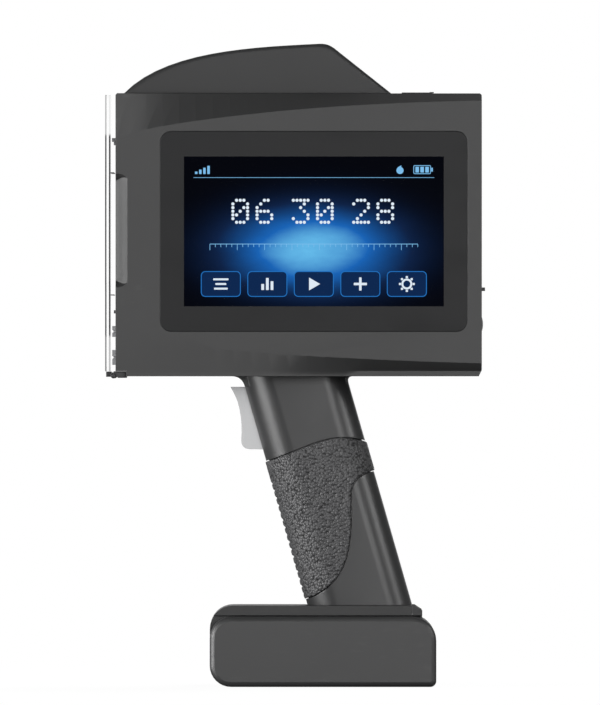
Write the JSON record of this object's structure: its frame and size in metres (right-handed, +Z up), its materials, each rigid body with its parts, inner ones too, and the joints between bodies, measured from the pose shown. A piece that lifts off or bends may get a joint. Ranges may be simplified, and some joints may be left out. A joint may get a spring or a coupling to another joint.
{
  "type": "date code inkjet printer",
  "caption": "Handheld pistol-grip date code inkjet printer with a side touch screen, flip-down nozzle guard, hinged cartridge cover, trigger handle and slide-on battery base.",
  "frame": {"origin": "middle of the printer on the plane it stands on, under the centre of its whole box", "axes": "+Z up, +X from the print face to the rear, +Y away from the screen"},
  "size_m": [0.1392, 0.074, 0.2352],
  "materials": {
    "body_shell": "fine satin texture",
    "cover_shell": "fine satin texture",
    "panel_black": "matte",
    "screen_glass": "glossy black bordered glass",
    "seal_black": "matte tape",
    "display": "lit panel",
    "board_green": "solder mask",
    "chip_black": "moulded",
    "bright_steel": "turned",
    "stall_black": "moulded",
    "cartridge_black": "moulded",
    "contact_gold": "plated",
    "clamp_grey": "moulded",
    "screw_black": "black oxide",
    "handle_shell": "satin",
    "grip_rubber": "pebbled",
    "trigger_grey": "satin",
    "spring_steel": "drawn wire",
    "foot_shell": "satin",
    "battery_shell": "satin",
    "cell_wrap": "shrink wrap",
    "wire_black": "wire sleeve",
    "clear_plastic": "clear moulded plastic",
    "catch_grey": "moulded",
    "roller_grey": "moulded",
    "button_grey": "satin",
    "slider_black": "matte",
    "flap_rubber": "matte"
  },
  "bodies": {
    "printer": {"left_housing": "body_shell", "right_housing": "body_shell", "front_panel": "panel_black", "rear_panel": "panel_black", "touch_glass": "screen_glass", "glass_gasket": "seal_black", "display_module": "display", "main_board": "board_green", "board_components": "chip_black", "board_screws": "bright_steel", "cartridge_stall": "stall_black", "ink_cartridge": "cartridge_black", "nozzle_plate": "contact_gold", "contact_block": "chip_black", "cover_hinge_pin": "bright_steel", "clamp_pin": "bright_steel", "housing_screws": "screw_black", "handle_left_half": "handle_shell", "handle_right_half": "handle_shell", "grip_sleeve": "grip_rubber", "handle_screws": "screw_black", "trigger_spring": "spring_steel", "trigger_switch": "chip_black", "battery_foot": "foot_shell", "foot_end_caps": "foot_shell", "foot_terminals": "contact_gold", "foot_screws": "screw_black", "battery_harness": "wire_black", "guard_hinge_bracket": "panel_black", "guard_hinge_pin": "bright_steel", "guard_catch": "catch_grey", "encoder_sensor": "chip_black", "power_switch": "chip_black", "slide_switch": "bright_steel", "flap_hinge_pin": "bright_steel", "usb_port": "bright_steel"},
    "guard_assembly": {"clear_guard": "clear_plastic", "guard_hinge_leaf": "panel_black"},
    "cover": {"cartridge_cover": "cover_shell"},
    "clamp_lever": {"cartridge_clamp": "clamp_grey"},
    "near_roller_set": {"near_rollers": "roller_grey", "near_roller_shaft": "bright_steel", "encoder_disc": "chip_black"},
    "far_roller_set": {"far_rollers": "roller_grey", "far_roller_shaft": "bright_steel"},
    "trigger_lever": {"trigger": "trigger_grey"},
    "power_key": {"power_button": "button_grey"},
    "slide_key": {"switch_slider": "slider_black"},
    "flap": {"port_flap": "flap_rubber"},
    "battery_pack": {"battery_left_case": "battery_shell", "battery_right_case": "battery_shell", "battery_cells": "cell_wrap", "battery_terminals": "contact_gold", "battery_case_screws": "screw_black", "latch_spring": "spring_steel"},
    "release_tab": {"battery_latch": "foot_shell"}
  },
  "joints": [
    {"name": "guard_hinge", "type": "hinge", "parent": "printer", "child": "guard_assembly", "pos_m": [-0.0665, 0, 0.1138], "axis": [0, -1, 0], "range_deg": [0, 95]},
    {"name": "cover_hinge", "type": "hinge", "parent": "printer", "child": "cover", "pos_m": [-0.014, 0.021, 0.2196], "axis": [1, 0, 0], "range_deg": [-95, 0]},
    {"name": "clamp_hinge", "type": "hinge", "parent": "printer", "child": "clamp_lever", "pos_m": [0.02225, 0, 0.2196], "axis": [0, 1, 0], "range_deg": [0, 30]},
    {"name": "near_roller_spin", "type": "hinge", "parent": "printer", "child": "near_roller_set", "pos_m": [-0.06205, -0.018, 0.1264], "axis": [0, 0, 1], "continuous": true},
    {"name": "far_roller_spin", "type": "hinge", "parent": "printer", "child": "far_roller_set", "pos_m": [-0.06205, 0.018, 0.1264], "axis": [0, 0, 1], "continuous": true},
    {"name": "trigger_pull", "type": "slide", "parent": "printer", "child": "trigger_lever", "axis": [1, 0, 0], "range_m": [0, 0.0045], "stiffness_N_per_m": 400, "deforming": ["trigger_spring"]},
    {"name": "power_press", "type": "slide", "parent": "printer", "child": "power_key", "axis": [-1, 0, 0], "range_m": [0, 0.0007], "stiffness_N_per_m": 2000},
    {"name": "switch_slide", "type": "slide", "parent": "printer", "child": "slide_key", "axis": [0, 1, 0], "range_m": [0, 0.0025]},
    {"name": "flap_hinge", "type": "hinge", "parent": "printer", "child": "flap", "pos_m": [0.03905, 0, 0.2164], "axis": [0, -1, 0], "range_deg": [0, 110]},
    {"name": "battery_slide", "type": "slide", "parent": "printer", "child": "battery_pack", "axis": [1, 0, 0], "range_m": [0, 0.085]},
    {"name": "release_press", "type": "slide", "parent": "battery_pack", "child": "release_tab", "axis": [0, 0, -1], "range_m": [0, 0.0025], "stiffness_N_per_m": 800, "deforming": ["latch_spring"]}
  ]
}
